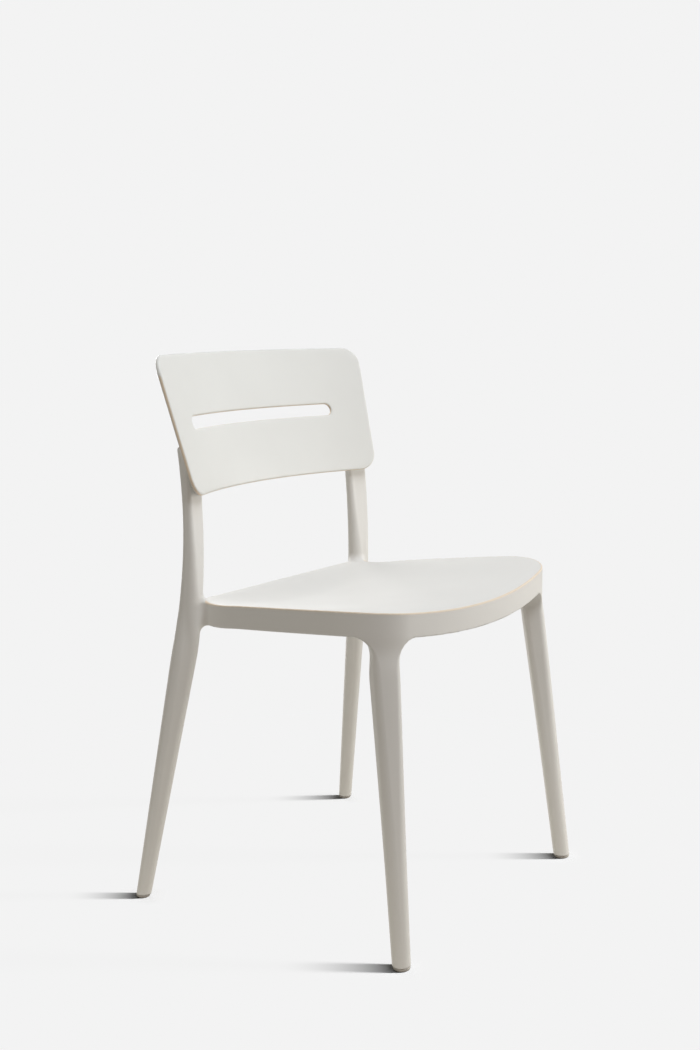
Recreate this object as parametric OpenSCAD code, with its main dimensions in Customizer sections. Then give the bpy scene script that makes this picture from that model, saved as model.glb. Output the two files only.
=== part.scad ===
// Stacking chair: a dished seat with a deep rim on four splayed, hollow legs. The rear legs
// run on upward as posts, and a thin curved backrest with one long slot laps onto them.
// Millimetres, +Z up, floor at z = 0. The chair faces -Y and is symmetric about X = 0.
// Left is the -X side, as seen by someone standing in front of the chair.

/* [Seat] */
// Half of the seat's width across its middle
seat_half_w = 228.5; // [216.5:0.5:240]
// Y of the front edge on the centre line
seat_front_y = -222.5; // [-232:0.5:-212]
// Y of the rear edge between the posts
seat_rear_y = 148.5; // [143:0.5:153]
// Height of the seat surface at its middle
seat_mid_z = 435.6; // [420:0.2:450]
// Rearward slope of the seat, degrees
seat_slope = 5; // [3:0.5:6]
// Height of the seat's side edges above its centre line
seat_dish = 19; // [12:1:26]
// Height of the straight rear edge above the seat's middle
rear_lip = 5; // [2:0.5:9]
// Radius of the seat's front corners
corner_r = 80.5; // [71:0.5:89]
// Radius of the gently bowed front edge
front_bow_r = 850; // [700:10:1200]
// Radius of the gently bowed side edges
side_bow_r = 1500; // [1200:50:2500]
// Taper of each side toward the rear, degrees
side_taper = 10.5; // [9:0.5:12]
// Depth of the rim below the seat's edge
rim_depth = 33; // [29:0.5:37]
// Rounding between the seat and its rim
rim_round = 2; // [1:0.5:4]
// Wall of the seat and its rim
seat_wall = 4.4; // [3.6:0.1:5]
// Depth of the ribs under the seat
rib_depth = 14; // [8:1:18]
// Thickness of the ribs
rib_t = 3; // [2:0.1:4]

/* [Front legs] */
// Distance of a front foot's centre outside the seat's half width
front_foot_out = 3.5; // [-6:0.5:14]
// Distance of a front foot's centre in front of the seat's front edge
front_foot_ahead = 4.5; // [-5:0.5:14]
// Width of a front leg at the rim, along the rim
front_top_w = 38.5; // [35:0.5:46]
// Depth of a front leg at the rim
front_top_d = 33; // [28:1:38]
// Thickness of a front leg at the foot
front_foot_w = 24.5; // [21:0.5:27]
// Radius of the fillets between a front leg and the rim
front_fillet_r = 29; // [18:1:32]

/* [Rear legs and posts] */
// Distance of a rear foot's centre outside the seat's half width
rear_foot_out = 28.5; // [19:0.5:38]
// Distance of a rear foot's centre behind the seat's rear edge
rear_foot_behind = 60.5; // [51:0.5:70]
// Thickness of a rear leg at the foot
rear_foot_w = 21.5; // [19.5:0.5:24]
// Height at which a rear leg begins to curve into its post
knee_z = 360; // [330:5:380]
// Width of a rear leg at that height, across its splay
knee_w = 29.5; // [27:0.5:33]
// Depth of a rear leg at that height, along its splay
knee_d = 36.5; // [33:0.5:39]
// Direction in which a rear leg is deepest, degrees outward from the rear
leg_turn = 50; // [42:1:56]
// Width of a post behind the backrest
post_w = 37; // [33:0.5:40]
// Thickness of a post behind the backrest
post_d = 16; // [15.5:0.5:20]
// Turn of the posts toward the sitter behind the backrest, degrees
post_turn = 12; // [8:1:16]
// Radius of the fillet between a rear leg and the rim
rear_fillet_r = 16; // [10:1:20]
// Wall around the gas channel inside the legs and posts
leg_wall = 5; // [4:0.1:5.5]

/* [Backrest] */
// Height of the backrest's lower edge
back_low_z = 594; // [585:1:602]
// Height of the backrest's upper edge
back_top_z = 790; // [770:1:810]
// Half of the backrest's width at its lower edge
back_half_w = 223; // [212:1:232]
// Lean of the backrest from upright, degrees
back_lean = 18.6; // [17:0.1:20]
// Flare of each side edge, degrees
back_flare = 6.1; // [4:0.1:8]
// Radius of the backrest's curve across its width
back_bow_r = 540; // [516:2:580]
// Thickness of the backrest
back_t = 6; // [5:0.2:7]
// Radius of the backrest's lower corners
back_low_r = 31; // [24:1:36]
// Radius of the backrest's upper corners
back_top_r = 24; // [16:1:30]
// Length of the slot
slot_len = 338; // [280:1:350]
// Height of the slot
slot_h = 18; // [12:1:24]
// Height of the slot's centre above the lower edge
slot_up = 98; // [85:1:115]

/* [Fittings] */
// Diameter of a foot glide's spigot
spigot_d = 12; // [10:0.5:13]
// Length of a foot glide's spigot
spigot_len = 16; // [10:1:20]
// Thickness of a foot glide under the leg
glide_t = 4; // [3:0.5:6]
// Diameter of the screw bosses on the backrest
boss_d = 10; // [8.5:0.5:12]
// Shank diameter of the backrest screws
screw_d = 4; // [3:0.5:4.5]
// Head diameter of the backrest screws
screw_head_d = 7.6; // [6.5:0.1:8]
// Diameter of a stacking pad
pad_d = 18; // [14:1:22]

/* [Hidden] */

shell_colour = [0.90, 0.89, 0.86];
back_colour = [0.91, 0.91, 0.88];
glide_colour = [0.25, 0.24, 0.23];
steel_colour = [0.70, 0.71, 0.72];

// Clearance between pieces that plug into each other
fit_gap = 0.1;
// Depth by which pieces of one moulding run into each other
bite = 1.5;
// Facets of drilled and turned features
round_fn = 64;
// Facets of the backrest's curve
bow_fn = 360;

// ---------- lofting ----------

function mean_of(ring) = [for (k = [0:2]) [for (p = ring) p[k]] * [for (p = ring) 1] / len(ring)];

function loft_faces(n, m) = concat(
    [for (k = [0:m - 2]) for (i = [0:n - 1])
        [k * n + i, (k + 1) * n + i, (k + 1) * n + (i + 1) % n]],
    [for (k = [0:m - 2]) for (i = [0:n - 1])
        [k * n + i, (k + 1) * n + (i + 1) % n, k * n + (i + 1) % n]],
    [for (i = [0:n - 1]) [n * m, i, (i + 1) % n]],
    [for (i = [0:n - 1]) [n * m + 1, (m - 1) * n + (i + 1) % n, (m - 1) * n + i]]
);

// A closed solid through rings that each have the same number of points
module loft(rings) {
    n = len(rings[0]);
    m = len(rings);
    polyhedron(
        points = concat([for (ring = rings) for (p = ring) p],
                        [mean_of(rings[0]), mean_of(rings[m - 1])]),
        faces = loft_faces(n, m));
}

function smooth(t) = let (u = min(1, max(0, t))) u * u * (3 - 2 * u);
function mix(a, b, t) = a + (b - a) * t;
function turned(p, a) = [p[0] * cos(a) - p[1] * sin(a), p[0] * sin(a) + p[1] * cos(a)];
function lifted(p, z) = [p[0], p[1], z];

// Points of a rounded rectangle, anticlockwise, with steps on each corner
function section(w, d, r, steps = 6) = [
    for (c = [0:3]) for (i = [0:steps])
        let (a = 90 * (c + i / steps))
        [(c == 0 || c == 3 ? 1 : -1) * (w / 2 - r) + r * cos(a),
         (c < 2 ? 1 : -1) * (d / 2 - r) + r * sin(a)]
];

// ---------- seat ----------

// Y at which the seat's half width and side taper are measured
side_mid_y = -5;
front_c = [0, seat_front_y + front_bow_r];
side_c = [seat_half_w - side_bow_r * cos(side_taper), side_mid_y - side_bow_r * sin(side_taper)];

// Where two circles about a and b cross, on the right of the line from a to b
function crossing(a, ra, b, rb) =
    let (d = norm(b - a),
         u = (b - a) / d,
         along = (ra * ra - rb * rb + d * d) / (2 * d),
         off = sqrt(ra * ra - along * along))
    a + along * u + off * [-u[1], u[0]];

corner_c = crossing(front_c, front_bow_r - corner_r, side_c, side_bow_r - corner_r);
corner_from = atan2(corner_c[1] - front_c[1], corner_c[0] - front_c[0]);
corner_to = atan2(corner_c[1] - side_c[1], corner_c[0] - side_c[0]);

// The posts stand in a notch at each rear corner of the seat
notch_y = seat_rear_y - 20.5;
notch_x = seat_half_w - 39.5;
// Point that the seat's surface spreads out from
seat_centre = [0, -35];

function arc_point(c, r, a) = c + r * [cos(a), sin(a)];

// Right half of the seat's outline, moved outward by grow; the notch moves inward by inset
function half_outline(grow, inset) =
    let (nx = notch_x - inset,
         ny = notch_y - inset,
         side_to = asin((ny - side_c[1]) / (side_bow_r + grow)))
    concat(
        [for (i = [0:7]) arc_point(front_c, front_bow_r + grow, mix(-90, corner_from, i / 8))],
        [for (i = [0:14]) arc_point(corner_c, corner_r + grow, mix(corner_from, corner_to, i / 14))],
        [for (i = [1:8]) arc_point(side_c, side_bow_r + grow, mix(corner_to, side_to, i / 8))],
        [[nx, ny], [nx, seat_rear_y + grow]],
        [for (i = [1:3]) [nx * (1 - i / 4), seat_rear_y + grow]]);

function outline(grow, inset = 0) =
    let (half = half_outline(grow, inset))
    concat(half, [[0, seat_rear_y + grow]],
           [for (i = [len(half) - 1:-1:1]) [-half[i][0], half[i][1]]]);

// The rear part of the seat rises to a level edge from here
lip_start_y = 55;
// The front part of the seat curves downward from here
waterfall_y = -105;
waterfall_bend = 0.00015;

// Height of the seat's upper surface
function seat_z(x, y) =
    let (drop = waterfall_bend * pow(min(0, y - waterfall_y), 2),
         slope_z = seat_mid_z - tan(seat_slope) * (y - side_mid_y) - drop,
         dished_z = slope_z + seat_dish * pow(x / seat_half_w, 2),
         lip = smooth((y - lip_start_y) / (seat_rear_y - lip_start_y)))
    mix(dished_z, seat_mid_z + rear_lip, lip);

function under_z(x, y) = seat_z(x, y) - seat_wall;
function rim_low_z(x, y) = seat_z(x, y) - rim_depth;

function seat_ring(edge, share, drop) = [
    for (p = edge)
        let (q = seat_centre + share * (p - seat_centre))
        [q[0], q[1], seat_z(q[0], q[1]) - drop]
];

// Rings over the rounded edge between the seat and its rim
function edge_ring(a) =
    let (crease = outline(0),
         edge = outline(rim_round * cos(a)))
    [for (i = [0:len(edge) - 1])
        lifted(edge[i], seat_z(crease[i][0], crease[i][1]) - rim_round * (1 - sin(a)))];

// The rim leans outward by this much toward its lower edge
rim_draft = 0.6;
inner_grow = rim_round - seat_wall;
spread = [0.12, 0.3, 0.5, 0.68, 0.84, 1];

seat_rings = concat(
    [for (s = spread) seat_ring(outline(inner_grow, seat_wall), s, seat_wall)],
    [seat_ring(outline(inner_grow + rim_draft, seat_wall), 1, rim_depth)],
    [seat_ring(outline(rim_round + rim_draft), 1, rim_depth)],
    [for (a = [0:30:90]) edge_ring(a)],
    [for (i = [len(spread) - 2:-1:0]) seat_ring(outline(0), spread[i], 0)]);

// Distance from the middle to the seat's side edge at y
function side_x(y) = side_c[0] + sqrt(pow(side_bow_r, 2) - pow(y - side_c[1], 2));
// Y of the seat's front edge at x
function front_y(x) = front_c[1] - sqrt(pow(front_bow_r, 2) - x * x);

// A rib across the seat, in the XZ plane at y
module cross_rib(y) {
    half = side_x(y) + inner_grow + bite;
    top = [for (i = [-12:12]) [half * i / 12, under_z(half * i / 12, y) + bite]];
    low = [for (i = [12:-1:-12]) [half * i / 12, under_z(half * i / 12, y) - rib_depth]];
    translate([0, y + rib_t / 2, 0])
        rotate([90, 0, 0])
            linear_extrude(rib_t)
                polygon(concat(top, low));
}

// A rib from front to rear, in the YZ plane at x
module long_rib(x) {
    from = front_y(x) - inner_grow - bite;
    to = seat_rear_y + inner_grow + bite;
    top = [for (i = [0:16]) let (y = mix(from, to, i / 16)) [y, under_z(x, y) + bite]];
    low = [for (i = [16:-1:0]) let (y = mix(from, to, i / 16)) [y, under_z(x, y) - rib_depth]];
    translate([x - rib_t / 2, 0, 0])
        rotate([90, 0, 90])
            linear_extrude(rib_t)
                polygon(concat(top, low));
}

cross_rib_y = [-135, -55, 25, 90];
long_rib_x = [-110, 0, 110];

pad_stem_d = 6;
pad_stem_len = 7;
pad_t = 5;
// Wall of the bosses that hold the stacking pads
pad_boss_wall = 4;
pad_x = 150;
front_pad_y = -95;
rear_pad_y = 57;
// Height of a pad boss above the rim's lower edge
pad_rise = 12;

function pad_seat_z(y) = rim_low_z(pad_x, y) + pad_rise;

module pad_boss(x, y) {
    translate([x, y, pad_seat_z(y)])
        cylinder(h = under_z(pad_x, y) + bite - pad_seat_z(y),
                 d = pad_stem_d + 2 * pad_boss_wall, $fn = round_fn);
}

// The cut starts this far outside a face, so that it opens it cleanly
overcut = 1;

module pad_hole(x, y) {
    translate([x, y, pad_seat_z(y) - overcut])
        cylinder(h = pad_stem_len + 2 * overcut, d = pad_stem_d + 2 * fit_gap, $fn = round_fn);
}

module seat_shell() {
    color(shell_colour)
        difference() {
            union() {
                loft(seat_rings);
                for (y = cross_rib_y)
                    cross_rib(y);
                for (x = long_rib_x)
                    long_rib(x);
                for (x = [-pad_x, pad_x], y = [front_pad_y, rear_pad_y])
                    pad_boss(x, y);
            }
            for (x = [-pad_x, pad_x], y = [front_pad_y, rear_pad_y])
                pad_hole(x, y);
        }
}

// ---------- fillets under the rim ----------

fillet_steps = 12;
fillet_t = 8;
// Share of a fillet's radius at which its thin end stops
fillet_end = 0.9;

// How far a fillet of radius r hangs below the rim at distance s from the leg
function fillet_drop(r, s) = s < 0 ? r : r - sqrt(r * r - pow(r - s, 2));

// Upright rectangle from the rim's lower edge downward, between an outer and an inner point
function fillet_ring(outer, inner, drop) = [
    lifted(outer, rim_low_z(outer[0], outer[1])),
    lifted(outer, rim_low_z(outer[0], outer[1]) - drop),
    lifted(inner, rim_low_z(inner[0], inner[1]) - drop),
    lifted(inner, rim_low_z(inner[0], inner[1]))
];

// ---------- front legs ----------

// Direction that a front leg's outer face looks in
front_dir = -53.5;
rim_outer_r = corner_r + rim_round + rim_draft;
// The leg's face lies this far inside the rim's face
leg_inset = 1.6;
leg_face_r = rim_outer_r - leg_inset;
front_top_o = arc_point(corner_c, leg_face_r, front_dir);
front_top_c = front_top_o - front_top_d / 2 * [cos(front_dir), sin(front_dir)];
front_top_z = rim_low_z(front_top_c[0], front_top_c[1]);
front_foot = [seat_half_w + front_foot_out, seat_front_y - front_foot_ahead];
front_slant = (front_foot - front_top_c) / front_top_z;
// Corner radius of a front leg's section at the rim
front_corner_r = 8;
// Least straight length left between two rounded corners of a section
flat_left = 0.5;

// Centre of a front leg at height z
function front_centre(z) = front_top_c + front_slant * (front_top_z - z);

function front_ring(z, shrink) =
    let (t = z / front_top_z,
         w = mix(front_foot_w, front_top_w, t) - 2 * shrink,
         d = mix(front_foot_w, front_top_d, t) - 2 * shrink,
         most_r = min(w, d) / 2 - flat_left,
         r = min(mix(w / 2, front_corner_r, smooth(t)), most_r),
         c = front_centre(z))
    [for (p = section(w, d, r))
        let (bow = p[1] < 0 ? p[0] * p[0] / (2 * rim_outer_r) : 0,
             q = turned([p[0], p[1] + bow], front_dir + 90))
        [c[0] + q[0], c[1] + q[1], z]];

// The topmost ring meets the rim's lower edge
function front_shoulder() = [
    for (p = front_ring(front_top_z, 0)) lifted(p, rim_low_z(p[0], p[1]))
];

// The root is narrower than the leg by this much on each side
root_inset = 4.5;
// The root runs down into the leg by this much
root_drop = 6;
root_w = front_top_w - 2 * root_inset;
root_outer_r = corner_r + inner_grow;
root_inner_r = leg_face_r - front_top_d + root_inset;

// Plan of the part of a front leg that stands inside the rim
function root_plan() =
    let (half_turn = asin(root_w / 2 / root_outer_r))
    concat(
        [for (i = [0:8]) arc_point(corner_c, root_outer_r, front_dir + mix(-half_turn, half_turn, i / 8))],
        [for (i = [0:4]) arc_point(corner_c, root_inner_r, front_dir + mix(half_turn, -half_turn, i / 4))]);

module root() {
    plan = root_plan();
    loft([
        [for (p = plan) lifted(p, front_top_z - root_drop)],
        [for (p = plan) lifted(p, under_z(p[0], p[1]))]
    ]);
}

// Fillet between a front leg and the rim, along the rim's corner
module front_fillet(side) {
    leg_turn = asin(front_top_w / 2 / leg_face_r);
    loft([for (i = [0:fillet_steps])
        let (k = side > 0 ? i : fillet_steps - i,
             s = mix(-bite, fillet_end * front_fillet_r, k / fillet_steps),
             a = front_dir + side * (leg_turn + s / leg_face_r * 180 / PI))
        fillet_ring(arc_point(corner_c, leg_face_r, a), arc_point(corner_c, leg_face_r - fillet_t, a),
                    fillet_drop(front_fillet_r, s))]);
}

glide_bore_len = spigot_len + 2;
// The gas channel opens into the glide's bore by this much
channel_lap = 2;
channel_foot_z = glide_t + glide_bore_len - channel_lap;
// The gas channel ends this far below the rim
channel_drop = 12;

// Stands its children on the floor at foot, tilted to the direction of a leg
module along_leg(foot, slant) {
    length = norm([slant[0], slant[1], 1]);
    heading = atan2(slant[1], slant[0]);
    translate([foot[0], foot[1], 0])
        rotate([0, acos(1 / length), heading])
            rotate([0, 0, -heading])
                children();
}

module glide_bore(foot, slant) {
    along_leg(foot, slant)
        translate([0, 0, -overcut])
            cylinder(h = glide_t + glide_bore_len + overcut, d = spigot_d + 2 * fit_gap, $fn = round_fn);
}

module front_leg() {
    difference() {
        union() {
            loft(concat([for (z = [glide_t, 60, 140, 220, 300, 370]) front_ring(z, 0)],
                        [front_shoulder()]));
            root();
            for (side = [-1, 1])
                front_fillet(side);
        }
        loft([for (z = [channel_foot_z, 140, 260, front_top_z - channel_drop]) front_ring(z, leg_wall)]);
        glide_bore(front_foot, -front_slant);
    }
}

module front_left_leg() {
    color(shell_colour)
        mirror([1, 0, 0])
            front_leg();
}

module front_right_leg() {
    color(shell_colour)
        front_leg();
}

// ---------- rear legs and posts ----------

// Each upright is straight up to the knee. From there its axis is a quadratic curve toward the
// bend, and then toward the top.
bend = [seat_half_w - 28, seat_rear_y - 13.5, seat_mid_z + 73.4];
post_top = [back_half_w - 21.5, seat_rear_y + 9.7, back_low_z + 69];
rear_foot = [seat_half_w + rear_foot_out, seat_rear_y + rear_foot_behind];
leg_run = ([bend[0], bend[1]] - rear_foot) / bend[2];

function leg_point(z) = lifted(rear_foot + leg_run * z, z);
knee = leg_point(knee_z);
function post_point(t) = knee * pow(1 - t, 2) + bend * 2 * t * (1 - t) + post_top * t * t;

// The section turns between the knee and the first height, and takes its final size at the second
turned_z = seat_mid_z + 14;
post_size_z = back_low_z - 14;
// Straight length left on the narrower sides of a post's section, between its rounded corners
post_flat = 4;

function upright_ring(c, shrink) =
    let (low = min(1, c[2] / knee_z),
         high = smooth((c[2] - knee_z) / (post_size_z - knee_z)),
         w = mix(mix(rear_foot_w, knee_w, low), post_w, high) - 2 * shrink,
         d = mix(mix(rear_foot_w, knee_d, low), post_d, high) - 2 * shrink,
         r = (min(w, d) - mix(2 * flat_left, post_flat, low)) / 2,
         turn = mix(leg_turn, post_turn, smooth((c[2] - knee_z) / (turned_z - knee_z))))
    [for (p = section(w, d, r)) let (q = turned(p, -turn)) [c[0] + q[0], c[1] + q[1], c[2]]];

module upright_body() {
    loft(concat(
        [for (z = [glide_t, 70, 150, 230, 300]) upright_ring(leg_point(z), 0)],
        [for (t = [0:0.1:1]) upright_ring(post_point(t), 0)]));
}

// The channel ends below the screws
module upright_channel() {
    loft(concat(
        [for (z = [channel_foot_z, 150, 280]) upright_ring(leg_point(z), leg_wall)],
        [for (t = [0:0.125:0.75]) upright_ring(post_point(t), leg_wall)]));
}

stub_w = 22;
// The stub lies this far below the seat's surface and below the rim's lower edge
stub_inset = 0.5;

// Stub that fills the notch at the seat's corner
module seat_stub() {
    low = rim_low_z(notch_x, notch_y) - stub_inset;
    high = seat_z(notch_x, notch_y) - stub_inset;
    translate([notch_x, notch_y, low])
        cube([stub_w, seat_rear_y - notch_y, high - low]);
}

// Share of the post's curve at which it passes the rim's lower edge
rim_share = 0.15;
leg_front_y = post_point(rim_share)[1] - knee_w / 2;
// The rear fillet runs into the rounded leg by this much
fillet_lap = 9;

// Fillet between the front of a rear leg and the rim, along the side of the seat
module rear_fillet() {
    loft([for (i = [0:fillet_steps])
        let (s = mix(fillet_end * rear_fillet_r, -fillet_lap, i / fillet_steps),
             y = leg_front_y - s,
             x = side_x(y) + rim_round + rim_draft - leg_inset)
        fillet_ring([x, y], [x - fillet_t, y], fillet_drop(rear_fillet_r, s))]);
}

// ---------- backrest ----------

// Y of the front of the backrest's lower edge on the centre line
back_y = seat_rear_y + 21.5;
// The backrest's curved shell runs past its edges by this much before it is trimmed
back_beyond = 80;
back_top_half_w = back_half_w + (back_top_z - back_low_z) * tan(back_flare);
// The prism that trims the backrest reaches this far in front of its lower edge's middle
trim_front = back_bow_r - sqrt(pow(back_bow_r, 2) - pow(back_top_half_w, 2)) + 2 * back_t;
trim_depth = trim_front + (back_top_z - back_low_z) * tan(back_lean) + 4 * back_t;

// The backrest's own frame: its curve is about an axis that leans with it
module back_frame() {
    translate([0, back_y, back_low_z])
        rotate([-back_lean, 0, 0])
            translate([0, -back_bow_r, 0])
                children();
}

// A cylinder about the curve's axis that runs past the backrest at both ends by beyond
module back_cylinder(r, beyond) {
    back_frame()
        translate([0, 0, -beyond])
            cylinder(h = (back_top_z - back_low_z) / cos(back_lean) + 2 * beyond, r = r, $fn = bow_fn);
}

// A trapezium that widens upward, centred on X = 0, with corners of low_r below and top_r above
module flared_plate(half, low, high, low_r, top_r, flare) {
    top_half = half + (high - low) * tan(flare);
    xb = half + low_r * tan(flare) - low_r / cos(flare);
    xt = top_half - top_r * tan(flare) - top_r / cos(flare);
    right = [[xb, low],
             [xb, low + low_r] + low_r * [cos(flare), -sin(flare)],
             [xt, high - top_r] + top_r * [cos(flare), -sin(flare)],
             [xt, high]];
    polygon(concat(right, [for (i = [3:-1:0]) [-right[i][0], right[i][1]]]));
    for (s = [-1, 1]) {
        translate([s * xb, low + low_r])
            circle(low_r, $fn = round_fn);
        translate([s * xt, high - top_r])
            circle(top_r, $fn = round_fn);
    }
}

module slot_plan() {
    reach = slot_len / 2 - slot_h / 2;
    translate([-reach, back_low_z + slot_up - slot_h / 2])
        square([2 * reach, slot_h]);
    for (s = [-1, 1])
        translate([s * reach, back_low_z + slot_up])
            circle(slot_h / 2, $fn = round_fn);
}

module curved_plate() {
    intersection() {
        difference() {
            back_cylinder(back_bow_r + back_t, back_beyond);
            back_cylinder(back_bow_r, back_beyond + overcut);
        }
        translate([0, back_y - trim_front + trim_depth, 0])
            rotate([90, 0, 0])
                linear_extrude(trim_depth)
                    difference() {
                        flared_plate(back_half_w, back_low_z, back_top_z, back_low_r, back_top_r, back_flare);
                        slot_plan();
                    }
    }
}

screw_turn = asin(post_top[0] / back_bow_r);
// Heights of the lower and upper screw above the backrest's lower edge, along its lean
screw_up = [12, 36];
boss_len = 4;
pilot_d = screw_d - 0.2;
// Depth of a screw's pilot hole in the backrest itself
pilot_depth = 2;
cap_d = screw_head_d + 2.4;
cap_t = 2;
head_h = 2.4;
// Space between a screw's head and its cap
cap_gap = 1;
// How far the post's axis lies behind the backrest's front at the lower and upper screw
axis_behind = [15.2, 10.6];

// Distances from the backrest's rear face to the cap and to the screw's head
function cap_seat(k) = axis_behind[k] + post_d / 2 - back_t - cap_t;
function head_seat(k) = cap_seat(k) - cap_gap - head_h;

// Right-hand screw frame, from the backrest's rear face, with +Z rearward through the post
module at_screw(up) {
    back_frame()
        rotate([0, 0, -screw_turn])
            translate([0, back_bow_r + back_t, up])
                rotate([-90, 0, 0])
                    children();
}

module screw_bosses() {
    for (up = screw_up)
        at_screw(up)
            translate([0, 0, -bite])
                cylinder(h = boss_len + bite, d = boss_d, $fn = round_fn);
}

module pilot_holes() {
    for (up = screw_up)
        at_screw(up)
            translate([0, 0, -pilot_depth])
                cylinder(h = pilot_depth + boss_len + overcut, d = pilot_d, $fn = round_fn);
}

module backrest_panel() {
    color(back_colour)
        difference() {
            union() {
                curved_plate();
                screw_bosses();
                mirror([1, 0, 0])
                    screw_bosses();
            }
            pilot_holes();
            mirror([1, 0, 0])
                pilot_holes();
        }
}

// Length of the stepped bore behind each of its steps
bore_reach = 30;

module screw_sockets() {
    for (k = [0, 1])
        at_screw(screw_up[k]) {
            translate([0, 0, -overcut])
                cylinder(h = boss_len + fit_gap + overcut, d = boss_d + 2 * fit_gap, $fn = round_fn);
            cylinder(h = bore_reach, d = screw_d + 4 * fit_gap, $fn = round_fn);
            translate([0, 0, head_seat(k)])
                cylinder(h = bore_reach, d = screw_head_d + 4 * fit_gap, $fn = round_fn);
            translate([0, 0, cap_seat(k)])
                cylinder(h = bore_reach, d = cap_d + 2 * fit_gap, $fn = round_fn);
        }
}

// Space above the backrest's lower edge, from its rear face forward
module backrest_space() {
    intersection() {
        back_cylinder(back_bow_r + back_t, back_beyond);
        translate([0, 0, back_low_z - fit_gap])
            cube(back_top_z);
    }
}

module rear_upright() {
    difference() {
        union() {
            upright_body();
            seat_stub();
            rear_fillet();
        }
        upright_channel();
        backrest_space();
        screw_sockets();
        glide_bore(rear_foot, leg_run);
    }
}

module rear_left_upright() {
    color(shell_colour)
        mirror([1, 0, 0])
            rear_upright();
}

module rear_right_upright() {
    color(shell_colour)
        rear_upright();
}

// ---------- fittings ----------

// A glide is smaller than its leg by this much across, at the floor and at the leg
glide_step = [3, 1];

module glide(foot, slant, leg_w) {
    color(glide_colour) {
        translate(lifted(foot + slant * glide_t / 2, 0))
            cylinder(h = glide_t, d1 = leg_w - glide_step[0], d2 = leg_w - glide_step[1], $fn = round_fn);
        along_leg(foot, slant)
            translate([0, 0, glide_t / 2])
                cylinder(h = spigot_len + glide_t / 2, d = spigot_d, $fn = round_fn);
    }
}

module front_left_glide() {
    mirror([1, 0, 0])
        front_right_glide();
}

module front_right_glide() {
    glide(front_foot, -front_slant, front_foot_w);
}

module rear_left_glide() {
    mirror([1, 0, 0])
        rear_right_glide();
}

module rear_right_glide() {
    glide(rear_foot, leg_run, rear_foot_w);
}

// Six-sided drive recess in a screw's head
drive_d = 3;
drive_floor = 1;
// The screw's tip stops this far short of the end of its pilot hole
tip_gap = 0.5;

module screw(k) {
    tip = pilot_depth - tip_gap;
    color(steel_colour)
        at_screw(screw_up[k])
            difference() {
                union() {
                    translate([0, 0, -tip])
                        cylinder(h = tip + head_seat(k) + drive_floor, d = pilot_d, $fn = round_fn);
                    translate([0, 0, head_seat(k)])
                        cylinder(h = head_h, d = screw_head_d, $fn = round_fn);
                }
                translate([0, 0, head_seat(k) + drive_floor])
                    cylinder(h = head_h, d = drive_d, $fn = 6);
            }
}

module cap(k) {
    color(shell_colour)
        at_screw(screw_up[k])
            translate([0, 0, cap_seat(k)])
                cylinder(h = cap_t, d = cap_d, $fn = round_fn);
}

module upper_right_screw() {
    screw(1);
}

module lower_right_screw() {
    screw(0);
}

module upper_left_screw() {
    mirror([1, 0, 0])
        upper_right_screw();
}

module lower_left_screw() {
    mirror([1, 0, 0])
        lower_right_screw();
}

module upper_right_cap() {
    cap(1);
}

module lower_right_cap() {
    cap(0);
}

module upper_left_cap() {
    mirror([1, 0, 0])
        upper_right_cap();
}

module lower_left_cap() {
    mirror([1, 0, 0])
        lower_right_cap();
}

// The foot of a pad is smaller than its top by this much across
pad_step = 2;

module pad(x, y) {
    color(glide_colour)
        translate([x, y, pad_seat_z(y)]) {
            translate([0, 0, -pad_t])
                cylinder(h = pad_t, d1 = pad_d - pad_step, d2 = pad_d, $fn = round_fn);
            cylinder(h = pad_stem_len, d = pad_stem_d, $fn = round_fn);
        }
}

module front_left_pad() {
    pad(-pad_x, front_pad_y);
}

module front_right_pad() {
    pad(pad_x, front_pad_y);
}

module rear_left_pad() {
    pad(-pad_x, rear_pad_y);
}

module rear_right_pad() {
    pad(pad_x, rear_pad_y);
}

seat_shell();
front_left_leg();
front_right_leg();
rear_left_upright();
rear_right_upright();
backrest_panel();
front_left_glide();
front_right_glide();
rear_left_glide();
rear_right_glide();
upper_left_screw();
lower_left_screw();
upper_right_screw();
lower_right_screw();
upper_left_cap();
lower_left_cap();
upper_right_cap();
lower_right_cap();
front_left_pad();
front_right_pad();
rear_left_pad();
rear_right_pad();
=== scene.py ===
"""Looks of the stacking chair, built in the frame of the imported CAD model.

The seat, its rim, the legs and the posts of such a chair are one moulding with no seams, so
one skin, cut from a smooth distance field, stands for all five solids. The backrest and the
foot glides are meshes of their own. The screws, caps and pads keep the meshes of the CAD model
and get a material. The chair's sizes are in millimetres until they become Blender meshes. The
camera, the floor and the lamps are in metres.
"""

import math

import bmesh
import bpy
import numpy as np
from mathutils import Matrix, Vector


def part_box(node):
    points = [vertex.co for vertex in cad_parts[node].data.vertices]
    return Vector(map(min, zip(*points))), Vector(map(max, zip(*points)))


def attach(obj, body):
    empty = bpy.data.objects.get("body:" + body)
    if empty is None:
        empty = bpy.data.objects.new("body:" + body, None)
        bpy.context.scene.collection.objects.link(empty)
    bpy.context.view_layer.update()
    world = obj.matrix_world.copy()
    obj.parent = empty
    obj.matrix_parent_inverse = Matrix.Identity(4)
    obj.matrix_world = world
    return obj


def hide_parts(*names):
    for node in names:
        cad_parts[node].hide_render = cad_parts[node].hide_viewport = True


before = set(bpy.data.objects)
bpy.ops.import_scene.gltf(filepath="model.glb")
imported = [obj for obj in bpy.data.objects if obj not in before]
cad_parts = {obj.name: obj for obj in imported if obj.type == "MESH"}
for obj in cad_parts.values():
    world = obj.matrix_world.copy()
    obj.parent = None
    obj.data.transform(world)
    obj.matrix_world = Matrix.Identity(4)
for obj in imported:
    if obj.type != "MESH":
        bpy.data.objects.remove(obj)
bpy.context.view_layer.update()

MM = 0.001
TINY = 1e-9

# ---------------------------------------------------------------- sizes of the solid model

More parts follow.
